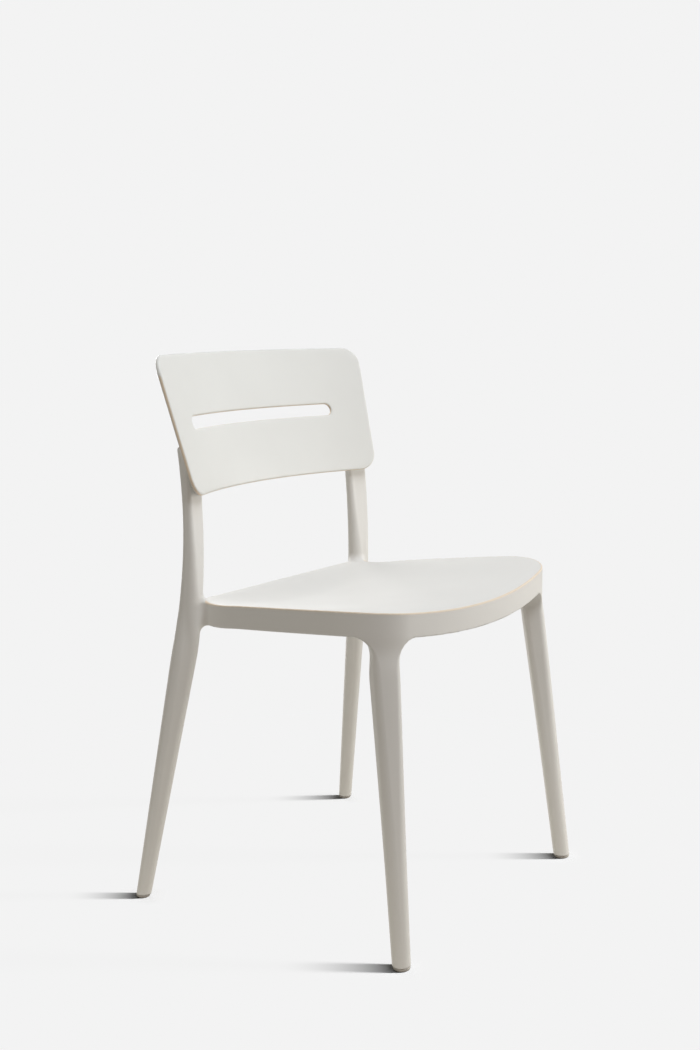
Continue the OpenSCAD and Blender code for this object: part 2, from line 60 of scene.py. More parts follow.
SEAT_HALF_W, SEAT_FRONT_Y, SEAT_REAR_Y = 228.5, -222.5, 148.5
SEAT_MID_Z, SEAT_SLOPE, SEAT_DISH, REAR_LIP = 435.6, 5.0, 19.0, 5.0
CORNER_R, FRONT_BOW_R, SIDE_BOW_R, SIDE_TAPER = 80.5, 850.0, 1500.0, 10.5
RIM_DEPTH, RIM_ROUND, RIM_DRAFT = 33.0, 2.0, 0.6
SEAT_WALL, RIB_DEPTH, RIB_T = 4.4, 14.0, 3.0
SIDE_MID_Y, LIP_START_Y, WATERFALL_Y, WATERFALL_BEND = -5.0, 55.0, -105.0, 0.00015
CROSS_RIB_Y, LONG_RIB_X = (-135.0, -55.0, 25.0, 90.0), (-110.0, 0.0, 110.0)
PAD_X, PAD_Y, PAD_BOSS_R, PAD_RISE = 150.0, (-95.0, 57.0), 7.0, 12.0

FRONT_FOOT = (232.0, -227.0)
FRONT_TOP_W, FRONT_TOP_D, FRONT_FOOT_W = 38.5, 33.0, 24.5
FRONT_FILLET_R, FRONT_DIR, LEG_INSET, FRONT_CORNER_R = 29.0, -53.5, 1.6, 8.0
GLIDE_T = 4.0

REAR_FOOT = (257.0, 209.0)
REAR_FOOT_W, KNEE_Z, KNEE_W, KNEE_D = 21.5, 360.0, 29.5, 36.5
POST_W, POST_D, POST_FLAT = 37.0, 16.0, 4.0
LEG_TURN, POST_TURN = 50.0, 12.0
REAR_FILLET_R = 14.0

BACK_LOW_Z, BACK_TOP_Z, BACK_HALF_W = 594.0, 790.0, 223.0
BACK_LEAN, BACK_FLARE, BACK_BOW_R, BACK_T = 18.6, 6.1, 540.0, 6.0
BACK_LOW_CORNER_R, BACK_TOP_CORNER_R = 31.0, 24.0
SLOT_LEN, SLOT_H, SLOT_UP = 338.0, 18.0, 98.0
BACK_Y = SEAT_REAR_Y + 21.5
BEND = np.array([SEAT_HALF_W - 28, SEAT_REAR_Y - 13.5, SEAT_MID_Z + 73.4])
POST_TOP = np.array([BACK_HALF_W - 21.5, SEAT_REAR_Y + 9.7, BACK_LOW_Z + 69])
TURN_MID_Z, TURN_HIGH_Z = SEAT_MID_Z + 14, BACK_LOW_Z - 14

# Rounding of the smaller edges of the skin
REAR_EDGE_R, RIM_LOW_R, HOLLOW_R, CUT_R, POST_END_R = 4.0, 1.0, 6.0, 0.8, 6.0
RIB_EDGE_R, RIB_FILLET_R = 0.6, 1.5
# How far the legs, ribs and bosses reach into the shell that carries them
SUNK = 2
# Depth under the rim over which a front leg takes on its own line, outer face and corners, and
# the width over which its shoulder thins out to the wall of the rim
LINE_RUN, FACE_RUN, CORNER_RUN, SHOULDER_RUN = 60, 46, 42, 22
# Share of the rim's curve that is left in a front leg's outer face at the foot
FOOT_BULGE = 0.25
# Flat left on the sides of an upright at the foot
FOOT_FLAT = 1
# Clearance of the posts to the backrest, behind it and under it
BACK_GAP, BACK_LOW_GAP = 0.15, 0.4

# ---------------------------------------------------------------- camera

FOCAL_PX, PICTURE_H_PX, SENSOR_H = 1393.195, 1050, 36.0
CAMERA_PLACE = (-1.67336, -1.15475, 0.85306)
LOOK_DOWN, SWING = 8.8141, -54.9728

camera_data = bpy.data.cameras.new("camera")
camera_data.sensor_fit = "VERTICAL"
camera_data.sensor_height = SENSOR_H
camera_data.lens = FOCAL_PX / PICTURE_H_PX * SENSOR_H
camera_data.clip_start = 0.05
camera_data.clip_end = 60
camera = bpy.data.objects.new("camera", camera_data)
camera.location = CAMERA_PLACE
camera.rotation_euler = (math.radians(90 - LOOK_DOWN), 0, math.radians(SWING))
bpy.context.scene.collection.objects.link(camera)
bpy.context.scene.camera = camera


# ---------------------------------------------------------------- distance fields

def mix(a, b, t):
    return a + (b - a) * t


def smooth(t):
    u = np.clip(t, 0, 1)
    return u * u * (3 - 2 * u)


def round_cut(a, b, r):
    """Where both a and b hold, with the edge between them rounded to radius r."""
    past = np.hypot(np.maximum(a + r, 0), np.maximum(b + r, 0))
    return np.minimum(np.maximum(a, b), -r) + past


def round_join(a, b, r):
    """a and b together, with a fillet of radius r between them."""
    short = np.hypot(np.maximum(r - a, 0), np.maximum(r - b, 0))
    return np.maximum(np.minimum(a, b), r) - short


def crossing(a, ra, b, rb):
    """The crossing of two circles that lies to the left of the way from a to b."""
    a, b = np.array(a), np.array(b)
    d = np.hypot(*(b - a))
    u = (b - a) / d
    along = (ra * ra - rb * rb + d * d) / (2 * d)
    return a + along * u + math.sqrt(ra * ra - along * along) * np.array([-u[1], u[0]])


TAPER = math.radians(SIDE_TAPER)
FRONT_C = np.array([0.0, SEAT_FRONT_Y + FRONT_BOW_R])
SIDE_C = np.array([SEAT_HALF_W - SIDE_BOW_R * math.cos(TAPER),
                   SIDE_MID_Y - SIDE_BOW_R * math.sin(TAPER)])
CORNER_C = crossing(FRONT_C, FRONT_BOW_R - CORNER_R, SIDE_C, SIDE_BOW_R - CORNER_R)
CORNER_FROM = math.atan2(*(CORNER_C - FRONT_C)[::-1])
CORNER_TO = math.atan2(*(CORNER_C - SIDE_C)[::-1])


def seat_z(x, y):
    """Height of the seat's upper face, dished from side to side and with a level rear lip."""
    drop = WATERFALL_BEND * np.minimum(0, y - WATERFALL_Y) ** 2
    slope = SEAT_MID_Z - math.tan(math.radians(SEAT_SLOPE)) * (y - SIDE_MID_Y) - drop
    dished = slope + SEAT_DISH * (x / SEAT_HALF_W) ** 2
    lip = smooth((y - LIP_START_Y) / (SEAT_REAR_Y - LIP_START_Y))
    return mix(dished, SEAT_MID_Z + REAR_LIP, lip)


def corner_turn(x, y):
    """Angle round the middle of the front corner's arc."""
    return np.arctan2(y - CORNER_C[1], x - CORNER_C[0])


def outline(x, y):
    """Distance from the seat's front and side edge line, less than 0 inside it, for x >= 0."""
    turn = corner_turn(x, y)
    front = np.hypot(x, y - FRONT_C[1]) - FRONT_BOW_R
    side = np.hypot(x - SIDE_C[0], y - SIDE_C[1]) - SIDE_BOW_R
    corner = np.hypot(x - CORNER_C[0], y - CORNER_C[1]) - CORNER_R
    return np.where(turn < CORNER_FROM, front, np.where(turn > CORNER_TO, side, corner))


def tilt(x):
    """Length of the seat surface's normal when its Z is 1, with a slope in Y of 0.09."""
    return np.sqrt(1.008 + (2 * SEAT_DISH * x / SEAT_HALF_W ** 2) ** 2)


def rim_growth(top, z):
    """How far the face of the rim stands out past the seat's edge line, top to bottom."""
    return RIM_ROUND + RIM_DRAFT * np.clip((top - z) / RIM_DEPTH, 0, 1)


def seat_field(x, y, z):
    """The seat: a shell with a deep rim, and ribs and pad bosses under it."""
    top = seat_z(x, y)
    lean = tilt(x)
    edge = outline(x, y)
    above = (z - top) / lean
    below = (top - RIM_DEPTH - z) / lean
    grow = rim_growth(top, z)
    side, rear = edge - grow, y - SEAT_REAR_Y - grow
    plan = round_cut(side, rear, REAR_EDGE_R)
    outer = round_cut(round_cut(plan, above, RIM_ROUND), below, RIM_LOW_R)
    hollow = round_cut(round_cut(side + SEAT_WALL, rear + SEAT_WALL, HOLLOW_R),
                       above + SEAT_WALL, HOLLOW_R)
    shell = round_cut(outer, -hollow, CUT_R)
    buried = np.maximum(above + SUNK, -(above + SEAT_WALL + RIB_DEPTH))
    reach = np.maximum(plan + SUNK, buried)
    ribs = np.minimum.reduce([np.abs(y - c) for c in CROSS_RIB_Y]
                             + [np.abs(x - c) for c in LONG_RIB_X])
    web = round_cut(ribs - RIB_T / 2, reach, RIB_EDGE_R)
    for pad_y in PAD_Y:
        stem = np.hypot(x - PAD_X, y - pad_y) - PAD_BOSS_R
        low = seat_z(np.float64(PAD_X), np.float64(pad_y)) - RIM_DEPTH + PAD_RISE
        web = np.minimum(web, np.maximum(stem, np.maximum(above + SUNK, low - z)))
    return round_join(shell, web, RIB_FILLET_R)


# The front leg's plan: out of the seat's corner and along it, and where its axis runs
RIM_OUTER_R = CORNER_R + RIM_ROUND + RIM_DRAFT
OUT = np.array([math.cos(math.radians(FRONT_DIR)), math.sin(math.radians(FRONT_DIR))])
ALONG = np.array([-OUT[1], OUT[0]])
FRONT_TOP_C = CORNER_C + OUT * (RIM_OUTER_R - LEG_INSET - FRONT_TOP_D / 2)
FRONT_TOP_Z = float(seat_z(FRONT_TOP_C[0], FRONT_TOP_C[1])) - RIM_DEPTH
FRONT_SLANT = (np.array(FRONT_FOOT) - FRONT_TOP_C) / FRONT_TOP_Z


def front_leg_field(x, y, z):
    """A front leg whose outer face runs on into the face of the rim above it."""
    top = seat_z(x, y)
    under = top - RIM_DEPTH - z
    share = np.clip(z / FRONT_TOP_Z, 0, 1)
    wide = mix(FRONT_FOOT_W, FRONT_TOP_W, share)
    deep = mix(FRONT_FOOT_W, FRONT_TOP_D, share)
    cx = FRONT_TOP_C[0] + FRONT_SLANT[0] * (FRONT_TOP_Z - z)
    cy = FRONT_TOP_C[1] + FRONT_SLANT[1] * (FRONT_TOP_Z - z)
    straight = (x - cx) * ALONG[0] + (y - cy) * ALONG[1]
    curved = (corner_turn(x, y) - math.radians(FRONT_DIR)) * RIM_OUTER_R
    beside = np.abs(mix(curved, straight, smooth(under / LINE_RUN))) - wide / 2
    bulge = straight ** 2 / (2 * RIM_OUTER_R) * mix(FOOT_BULGE, 1, share ** 2)
    leg_face = (x - cx) * OUT[0] + (y - cy) * OUT[1] - deep / 2 + bulge
    rim_face = outline(x, y) - rim_growth(top, z)
    face = mix(rim_face, leg_face, smooth((under + SUNK) / FACE_RUN))
    profile = round_join(under / tilt(x), beside, FRONT_FILLET_R)
    profile = np.maximum(profile, beside - FRONT_FILLET_R)
    thick = mix(deep, SEAT_WALL + SUNK, smooth((beside + SUNK) / SHOULDER_RUN))
    slab = np.abs(face + thick / 2) - thick / 2
    # the rounding of the leg's corners always leaves a little flat between them
    corner = np.minimum(mix(wide / 2, FRONT_CORNER_R, smooth(share)),
                        np.minimum(wide, deep) / 2 - 0.5)
    corner = np.minimum(mix(RIM_LOW_R, corner, smooth(under / CORNER_RUN)), thick / 2 - 0.2)
    leg = round_cut(profile, slab, corner)
    leg = np.maximum(leg, z - top + SUNK)
    return round_cut(leg, GLIDE_T - z, CUT_R)


LEG_RUN = (BEND[:2] - np.array(REAR_FOOT)) / BEND[2]
KNEE = np.array([REAR_FOOT[0] + LEG_RUN[0] * KNEE_Z, REAR_FOOT[1] + LEG_RUN[1] * KNEE_Z, KNEE_Z])


def upright_centre(z):
    """X and Y of an upright's axis at height z: a line to the knee, then a quadratic curve."""
    a = KNEE[2] - 2 * BEND[2] + POST_TOP[2]
    b = 2 * (BEND[2] - KNEE[2])
    c = KNEE[2] - np.maximum(z, KNEE_Z)
    if abs(a) < TINY:
        t = -c / b
    else:
        t = (-b + np.sqrt(np.maximum(b * b - 4 * a * c, 0))) / (2 * a)
    curve = [KNEE[i] * (1 - t) ** 2 + 2 * BEND[i] * t * (1 - t) + POST_TOP[i] * t * t
             for i in (0, 1)]
    line = [REAR_FOOT[i] + LEG_RUN[i] * z for i in (0, 1)]
    return [np.where(z < KNEE_Z, line[i], curve[i]) for i in (0, 1)]


def back_radius(x, y, z):
    """Distance from the axis that the backrest curves about."""
    lean = math.radians(BACK_LEAN)
    ly = (y - BACK_Y) * math.cos(lean) - (z - BACK_LOW_Z) * math.sin(lean)
    return np.hypot(x, ly + BACK_BOW_R)


def upright_field(x, y, z):
    """A rear leg and the post above it, cut to the rear face of the backrest."""
    cx, cy = upright_centre(z)
    low = np.minimum(1, z / KNEE_Z)
    high = smooth((z - KNEE_Z) / (TURN_HIGH_Z - KNEE_Z))
    wide = mix(mix(REAR_FOOT_W, KNEE_W, low), POST_W, high)
    deep = mix(mix(REAR_FOOT_W, KNEE_D, low), POST_D, high)
    corner = (np.minimum(wide, deep) - mix(FOOT_FLAT, POST_FLAT, low)) / 2
    turned = smooth((z - KNEE_Z) / (TURN_MID_Z - KNEE_Z))
    turn = np.radians(mix(LEG_TURN, POST_TURN, turned))
    dx, dy = x - cx, y - cy
    u = dx * np.cos(turn) - dy * np.sin(turn)
    v = dx * np.sin(turn) + dy * np.cos(turn)
    body = round_cut(np.abs(u) - wide / 2, np.abs(v) - deep / 2, corner)
    body = round_cut(body, z - POST_TOP[2], POST_END_R)
    taken = np.maximum(back_radius(x, y, z) - BACK_BOW_R - BACK_T - BACK_GAP,
                       BACK_LOW_Z - BACK_LOW_GAP - z)
    body = round_cut(body, -taken, CUT_R)
    return round_cut(body, GLIDE_T - z, CUT_R)


def frame_field(p):
    """The whole moulding at the points p, its left half a mirror of the right."""
    x, y, z = np.abs(p[:, 0]), p[:, 1], p[:, 2]
    moulding = np.minimum(seat_field(x, y, z), front_leg_field(x, y, z))
    return round_join(moulding, upright_field(x, y, z), REAR_FILLET_R)


# ---------------------------------------------------------------- surface from a field

# Corners and edges of a lattice cell
CORNERS = np.array([(i, j, k) for i in (0, 1) for j in (0, 1) for k in (0, 1)])
EDGES = [(a, b) for a in range(8) for b in range(a + 1, 8)
         if np.abs(CORNERS[a] - CORNERS[b]).sum() == 1]


def in_parts(field, points, part=400000):
    """The field at many points, a part of them at a time to save memory."""
    return np.concatenate([field(points[i:i + part]) for i in range(0, len(points), part)])


def sample(field, low, high, step, block=8, margin=1.3, at_once=600):
    """The field on a lattice, worked out only in blocks that the surface may cross.

    A block may be crossed when the field at its middle is under margin times its side.
    """
    n = [int(math.ceil((high[i] - low[i]) / (step * block))) for i in range(3)]
    mid = [low[i] + (np.arange(n[i]) + 0.5) * step * block for i in range(3)]
    centres = np.stack(np.meshgrid(*mid, indexing="ij"), -1).reshape(-1, 3)
    coarse = in_parts(field, centres).reshape(n)
    values = coarse.astype(np.float32)
    for axis in range(3):
        values = np.repeat(values, block, axis)
    near = np.argwhere(np.abs(coarse) < step * block * margin)
    local = np.stack(np.meshgrid(*[np.arange(block)] * 3, indexing="ij"), -1).reshape(-1, 3)
    for start in range(0, len(near), at_once):
        some = near[start:start + at_once]
        index = (some[:, None, :] * block + local[None]).reshape(-1, 3)
        points = np.array(low) + (index + 0.5) * step
        values[index[:, 0], index[:, 1], index[:, 2]] = field(points)
    return values, np.array(low) + 0.5 * step


def surface(values, origin, step):
    """Vertices and quads of the zero surface, one vertex in each cell that it crosses."""
    inside = values < 0
    shape = [s - 1 for s in values.shape]
    count = np.zeros(shape, np.uint8)
    for i, j, k in CORNERS:
        count += inside[i:shape[0] + i, j:shape[1] + j, k:shape[2] + k]
    cells = np.argwhere((count > 0) & (count < 8))
    number = np.full(shape, -1, np.int32)
    number[tuple(cells.T)] = np.arange(len(cells))
    at = [values[tuple((cells + c).T)].astype(float) for c in CORNERS]
    total = np.zeros((len(cells), 3))
    hits = np.zeros(len(cells))
    for a, b in EDGES:
        cross = (at[a] < 0) != (at[b] < 0)
        t = np.where(cross, at[a] / np.where(cross, at[a] - at[b], 1), 0)
        total += cross[:, None] * (CORNERS[a] + t[:, None] * (CORNERS[b] - CORNERS[a]))
        hits += cross
    points = origin + (cells + total / hits[:, None]) * step
    quads = []
    for axis in range(3):
        u, v = (axis + 1) % 3, (axis + 2) % 3
        lo = [slice(1, s - 1) for s in values.shape]
        lo[axis] = slice(0, values.shape[axis] - 1)
        hi = list(lo)
        hi[axis] = slice(1, values.shape[axis])
        first, second = inside[tuple(lo)], inside[tuple(hi)]
        edges = np.argwhere(first != second)
        leaving = first[tuple(edges.T)]
        base = edges + [0 if i == axis else 1 for i in range(3)]
        around = []
        for du, dv in ((-1, -1), (0, -1), (0, 0), (-1, 0)):
            cell = base.copy()
            cell[:, u] += du
            cell[:, v] += dv
            around.append(number[tuple(cell.T)])
        ring = np.stack(around, 1)
        ring[~leaving] = ring[~leaving][:, ::-1]
        quads.append(ring)
    return points, np.concatenate(quads)


def gradient(field, points, eps=0.35):
    out = np.empty_like(points)
    for axis in range(3):
        step = np.zeros(3)
        step[axis] = eps
        rise = in_parts(field, points + step) - in_parts(field, points - step)
        out[:, axis] = rise / (2 * eps)
    return out


def settle(field, points, quads, rounds=2, most=1.2, least_slope=0.05):
    """Evens out the vertices along the surface, puts them on it and gives their normals."""
    for _ in range(rounds):
        total = np.zeros_like(points)
        hits = np.bincount(quads.ravel(), minlength=len(points)).astype(float)
        middle = points[quads].mean(1)
        for axis in range(3):
            shares = np.repeat(middle[:, axis], 4)
            total[:, axis] = np.bincount(quads.ravel(), shares, len(points))
        points = mix(points, total / np.maximum(hits, 1)[:, None], 0.5)
        for _ in range(2):
            slope = gradient(field, points)
            square = np.maximum((slope ** 2).sum(1), least_slope)[:, None]
            step = in_parts(field, points)[:, None] * slope / square
            length = np.linalg.norm(step, axis=1)[:, None]
            points = points - step * np.minimum(1, most / np.maximum(length, TINY))
    slope = gradient(field, points)
    return points, slope / np.maximum(np.linalg.norm(slope, axis=1), TINY)[:, None]


# ---------------------------------------------------------------- making pieces

def add_mesh(name, points, faces, material, normals=None, edge_shade_gap=None):
    """A smooth piece; the optional gap vector at each point, by its length, sets where the painted
    edge shade falls.
    """
    mesh = bpy.data.meshes.new(name)
    mesh.from_pydata([tuple(p) for p in np.asarray(points) * MM], [], [tuple(f) for f in faces])
    mesh.polygons.foreach_set("use_smooth", np.ones(len(mesh.polygons), bool))
    mesh.update()
    if normals is not None:
        mesh.normals_split_custom_set_from_vertices([tuple(n) for n in normals])
    if edge_shade_gap is not None:
        stored = mesh.attributes.new("edge_shade_gap", "FLOAT_VECTOR", "POINT")
        stored.data.foreach_set("vector", edge_shade_gap.ravel())
    mesh.materials.append(material)
    piece = bpy.data.objects.new(name, mesh)
    bpy.context.scene.collection.objects.link(piece)
    return piece


def grid_faces(rows, columns, close_rows=False):
    """Quads between closed rows of points, and from the last row to the first if asked."""
    faces = []
    for i in range(rows if close_rows else rows - 1):
        here, there = i * columns, ((i + 1) % rows) * columns
        for j in range(columns):
            after = (j + 1) % columns
            faces.append((here + j, here + after, there + after, there + j))
    return faces


# ---------------------------------------------------------------- nodes

def plain(colour):
    return (*[float(c) for c in colour], 1)


def node_material(name):
    material = bpy.data.materials.new(name)
    material.use_nodes = True
    return material, material.node_tree, material.node_tree.nodes["Principled BSDF"]


def ramp(tree, value, low, high, to_low, to_high, kind="SMOOTHSTEP"):
    node = tree.nodes.new("ShaderNodeMapRange")
    node.interpolation_type = kind
    limits = (("From Min", low), ("From Max", high), ("To Min", to_low), ("To Max", to_high))
    for name, number in limits:
        node.inputs[name].default_value = number
    tree.links.new(value, node.inputs["Value"])
    return node.outputs["Result"]


def combine(tree, operation, a, b):
    node = tree.nodes.new("ShaderNodeMath")
    node.operation = operation
    tree.links.new(a, node.inputs[0])
    tree.links.new(b, node.inputs[1])
    return node.outputs["Value"]


def colour_mix(tree, factor, first, second):
    """A blend of two colours, each one given as numbers or as the output of a node."""
    node = tree.nodes.new("ShaderNodeMix")
    node.data_type = "RGBA"
    tree.links.new(factor, node.inputs["Factor"])
    for socket, colour in (("A", first), ("B", second)):
        if isinstance(colour, bpy.types.NodeSocket):
            tree.links.new(colour, node.inputs[socket])
        else:
            node.inputs[socket].default_value = plain(colour)
    return node.outputs["Result"]


def noise(tree, place, scale, detail, roughness=0.5):
    node = tree.nodes.new("ShaderNodeTexNoise")
    for name, number in (("Scale", scale), ("Detail", detail), ("Roughness", roughness)):
        node.inputs[name].default_value = number
    tree.links.new(place, node.inputs["Vector"])
    return node.outputs["Fac"]


def relief(tree, shader, height, strength, distance):
    """Bump from a height texture, into the shader's normal."""
    node = tree.nodes.new("ShaderNodeBump")
    node.inputs["Strength"].default_value = strength
    node.inputs["Distance"].default_value = distance
    tree.links.new(height, node.inputs["Height"])
    tree.links.new(node.outputs["Normal"], shader.inputs["Normal"])


def own_place(tree):
    return tree.nodes.new("ShaderNodeTexCoord").outputs["Object"]


# ---------------------------------------------------------------- materials

CLOUD_SCALE, CLOUD_RANGE, CLOUD_DEPTH = 6.0, (0.3, 0.7), 0.02
GLOSS_SPREAD, GRAIN_HEIGHT = 0.05, 0.0004
PLASTIC_IOR, PLASTIC_SHEEN = 1.49, 0.35
MOTTLE_SCALE, MOTTLE_RELIEF, MOTTLE_HEIGHT = 420.0, 0.15, 0.0002


def painted_edge_shade(tree, colour, edge):
    """Mix painted shade, a warmer, darker colour, into a surface along its edges, where the gap
    read from the mesh is short.
    """
    tint, full, none = edge
    to_edge = tree.nodes.new("ShaderNodeAttribute")
    to_edge.attribute_name = "edge_shade_gap"
    gap = tree.nodes.new("ShaderNodeVectorMath")
    gap.operation = "LENGTH"
    tree.links.new(to_edge.outputs["Vector"], gap.inputs[0])
    near = ramp(tree, gap.outputs["Value"], full, none, 1.0, 0.0)
    return colour_mix(tree, near, colour, tint)


def moulded_plastic(name, colour, roughness, grain, grain_scale, edge=None):
    """Moulded polypropylene: fine spark grain, faint flow clouds and a soft sheen."""
    material, tree, shader = node_material(name)
    place = own_place(tree)
    clouds = ramp(tree, noise(tree, place, CLOUD_SCALE, 3.0), *CLOUD_RANGE, 0.0, 1.0, "LINEAR")
    dark = [c * (1 - CLOUD_DEPTH) for c in colour]
    light = [min(1, c * (1 + CLOUD_DEPTH)) for c in colour]
    tone = colour_mix(tree, clouds, dark, light)
    # painted shade: a warmer, darker colour along the creases and edges
    if edge:
        tone = painted_edge_shade(tree, tone, edge)
    tree.links.new(tone, shader.inputs["Base Color"])
    fine = noise(tree, place, grain_scale, 2.0, 0.6)
    gloss = ramp(tree, fine, 0, 1, roughness - GLOSS_SPREAD, roughness + GLOSS_SPREAD, "LINEAR")
    tree.links.new(gloss, shader.inputs["Roughness"])
    relief(tree, shader, fine, grain, GRAIN_HEIGHT)
    shader.inputs["IOR"].default_value = PLASTIC_IOR
    shader.inputs["Specular IOR Level"].default_value = PLASTIC_SHEEN
    return material


def plated_steel(name, dark, light, roughness):
    """Zinc-plated steel: fine mottling in its colour, its gloss and its surface."""
    material, tree, shader = node_material(name)
    mottle = noise(tree, own_place(tree), MOTTLE_SCALE, 4.0)
    tree.links.new(colour_mix(tree, mottle, dark, light), shader.inputs["Base Color"])
    gloss = ramp(tree, mottle, 0, 1, roughness - 0.08, roughness + 0.1, "LINEAR")
    tree.links.new(gloss, shader.inputs["Roughness"])
    relief(tree, shader, mottle, MOTTLE_RELIEF, MOTTLE_HEIGHT)
    shader.inputs["Metallic"].default_value = 1.0
    return material


FRAME_COLOUR, BACK_COLOUR = (0.80, 0.775, 0.735), (0.80, 0.785, 0.745)
# Painted shade along the creases and edges, warmer and darker than the plastic: the colour, and the
# gaps where it is full and none
SEAT_EDGE_SHADE = ((0.80, 0.67, 0.53), 1.2, 3.4)
BACK_EDGE_SHADE = ((0.80, 0.66, 0.51), 1.2, 3.4)
shell_plastic = moulded_plastic("shell_plastic", FRAME_COLOUR, 0.54, 0.12, 1400.0, SEAT_EDGE_SHADE)
back_plastic = moulded_plastic("back_plastic", BACK_COLOUR, 0.42, 0.08, 1400.0, BACK_EDGE_SHADE)
cap_plastic = moulded_plastic("cap_plastic", FRAME_COLOUR, 0.5, 0.12, 1400.0)
glide_plastic = moulded_plastic("glide_plastic", (0.66, 0.62, 0.55), 0.5, 0.2, 900.0)
pad_rubber = moulded_plastic("pad_rubber", (0.10, 0.095, 0.09), 0.7, 0.35, 700.0)
screw_steel = plated_steel("screw_steel", (0.50, 0.50, 0.50), (0.68, 0.68, 0.66), 0.34)

# ---------------------------------------------------------------- the moulding

STEP = 2.0
LATTICE_LOW, LATTICE_HIGH = (-272.0, -246.0, -2.0), (272.0, 242.0, 662.0)


def rim_gap(points):
    """Gap of each point to the crease round the seat, past its side and below its top, where the
    painted shade lies.
    """
    x, y, z = np.abs(points[:, 0]), points[:, 1], points[:, 2]
    return np.stack([outline(x, y) - RIM_ROUND, seat_z(x, y) - z, 0 * z], -1)


lattice, origin = sample(frame_field, LATTICE_LOW, LATTICE_HIGH, STEP)
skin_points, skin_quads = surface(lattice, origin, STEP)
skin_points, skin_normals = settle(frame_field, skin_points, skin_quads)
skin = add_mesh("moulded_frame", skin_points, skin_quads, shell_plastic, skin_normals,
                rim_gap(skin_points))
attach(skin, "root")
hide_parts("seat_shell", "front_left_leg", "front_right_leg",
            "rear_left_upright", "rear_right_upright")

# ---------------------------------------------------------------- the backrest

LEAN = math.radians(BACK_LEAN)
# Points in a quarter of each ring, and how many of them go to the stretches of its outline
QUARTER = 70
PLATE_LEVEL, PLATE_CORNER = int(QUARTER * 0.62), int(QUARTER * 0.2)
PLATE_SIDE = QUARTER - PLATE_LEVEL - PLATE_CORNER
SLOT_LEVEL = int(QUARTER * 0.74)
SLOT_END = QUARTER - SLOT_LEVEL


def on_back(x, z, depth):
    """Point of the backrest's front face at x and height z, moved rearward by depth."""
    # the y at which back_radius(x, y, z) is BACK_BOW_R
    ly = np.sqrt(BACK_BOW_R ** 2 - x ** 2) - BACK_BOW_R
    y = BACK_Y + (ly + (z - BACK_LOW_Z) * math.sin(LEAN)) / math.cos(LEAN)
    nx = x / BACK_BOW_R
    nl = (ly + BACK_BOW_R) / BACK_BOW_R
    normal = np.stack([nx, nl * math.cos(LEAN), -nl * math.sin(LEAN)], -1)
    return np.stack([x, y, z], -1) + np.asarray(depth)[..., None] * normal


def spread(points, count):
    """Points spread evenly along an open line, its last point left out."""
    length = np.concatenate([[0], np.cumsum(np.hypot(*np.diff(points, axis=0).T))])
    at = np.linspace(0, length[-1], count, endpoint=False)
    return np.stack([np.interp(at, length, points[:, i]) for i in (0, 1)], -1)


def arc(centre, r, start, end, steps=40):
    a = np.linspace(start, end, steps)
    return np.stack([centre[0] + r * np.cos(a), centre[1] + r * np.sin(a)], -1)


def both_halves(right):
    """A closed outline from its right half, which runs from the bottom middle to the top middle."""
    left = right[1:][::-1] * (-1, 1)
    top = np.array([[0.0, right[:, 1].max()]])
    return np.concatenate([right, top, left])


def plate_outline(inset):
    """The backrest's outer edge line, moved inward."""
    flare = math.radians(BACK_FLARE)
    low_r, top_r = BACK_LOW_CORNER_R, BACK_TOP_CORNER_R
    top_half = BACK_HALF_W + (BACK_TOP_Z - BACK_LOW_Z) * math.tan(flare)
    low = (BACK_HALF_W + low_r * math.tan(flare) - low_r / math.cos(flare), BACK_LOW_Z + low_r)
    high = (top_half - top_r * math.tan(flare) - top_r / math.cos(flare), BACK_TOP_Z - top_r)
    low_arc = arc(low, low_r - inset, -math.pi / 2, -flare)
    high_arc = arc(high, top_r - inset, -flare, math.pi / 2)
    middle = mix(low_arc[-1], high_arc[0], 0.5)
    pieces = [spread(np.array([(0, BACK_LOW_Z + inset), low_arc[0]]), PLATE_LEVEL),
              spread(low_arc, PLATE_CORNER),
              spread(np.array([low_arc[-1], middle]), PLATE_SIDE),
              spread(np.array([middle, high_arc[0]]), PLATE_SIDE),
              spread(high_arc, PLATE_CORNER),
              spread(np.array([high_arc[-1], (0, BACK_TOP_Z - inset)]), PLATE_LEVEL)]
    return both_halves(np.concatenate(pieces))


def slot_outline(grow):
    """The edge line of the handle slot, moved outward."""
    mid, r = BACK_LOW_Z + SLOT_UP, SLOT_H / 2 + grow
    reach = SLOT_LEN / 2 - SLOT_H / 2
    end = arc((reach, mid), r, -math.pi / 2, math.pi / 2)
    pieces = [spread(np.array([(0, mid - r), end[0]]), SLOT_LEVEL),
              spread(end, 2 * SLOT_END),
              spread(np.array([end[-1], (0, mid + r)]), SLOT_LEVEL)]
    return both_halves(np.concatenate(pieces))


# Rounding of the edges, and the angles round it from a face (0) to the middle of the edge (90)
EDGE_R = 2.7
EDGE_ARC = np.radians(np.linspace(0, 90, 6))
FACE_RINGS = 15
# Lengths for the painted edge shade: at the start of a rounded edge, and where none shows
ROUND_GAP, NO_SHADE = 4.2, 9.0
rings, ring_gaps = [], []


def add_ring(edge_line, depth, gap):
    depths = np.full(len(edge_line), depth)
    rings.append(on_back(edge_line[:, 0], edge_line[:, 1], depths))
    ring_gaps.append(np.full(len(edge_line), gap))


def add_face(depth, shares):
    """Rings across one face, each at a share of the way from the slot to the outer edge."""
    inner, outer = slot_outline(EDGE_R), plate_outline(EDGE_R)
    for t in shares:
        add_ring(mix(inner, outer, t), depth, NO_SHADE)


def add_round(outline_of, at_front, from_face):
    """Rings round half of one edge, from the face to the middle of the edge or the other way."""
    for a in EDGE_ARC[1:] if from_face else EDGE_ARC[::-1][:-1]:
        rise = EDGE_R * (1 - math.cos(a))
        shrink = EDGE_R * (1 - math.sin(a))
        depth = rise if at_front else BACK_T - rise
        add_ring(outline_of(shrink), depth, ROUND_GAP * math.cos(a))


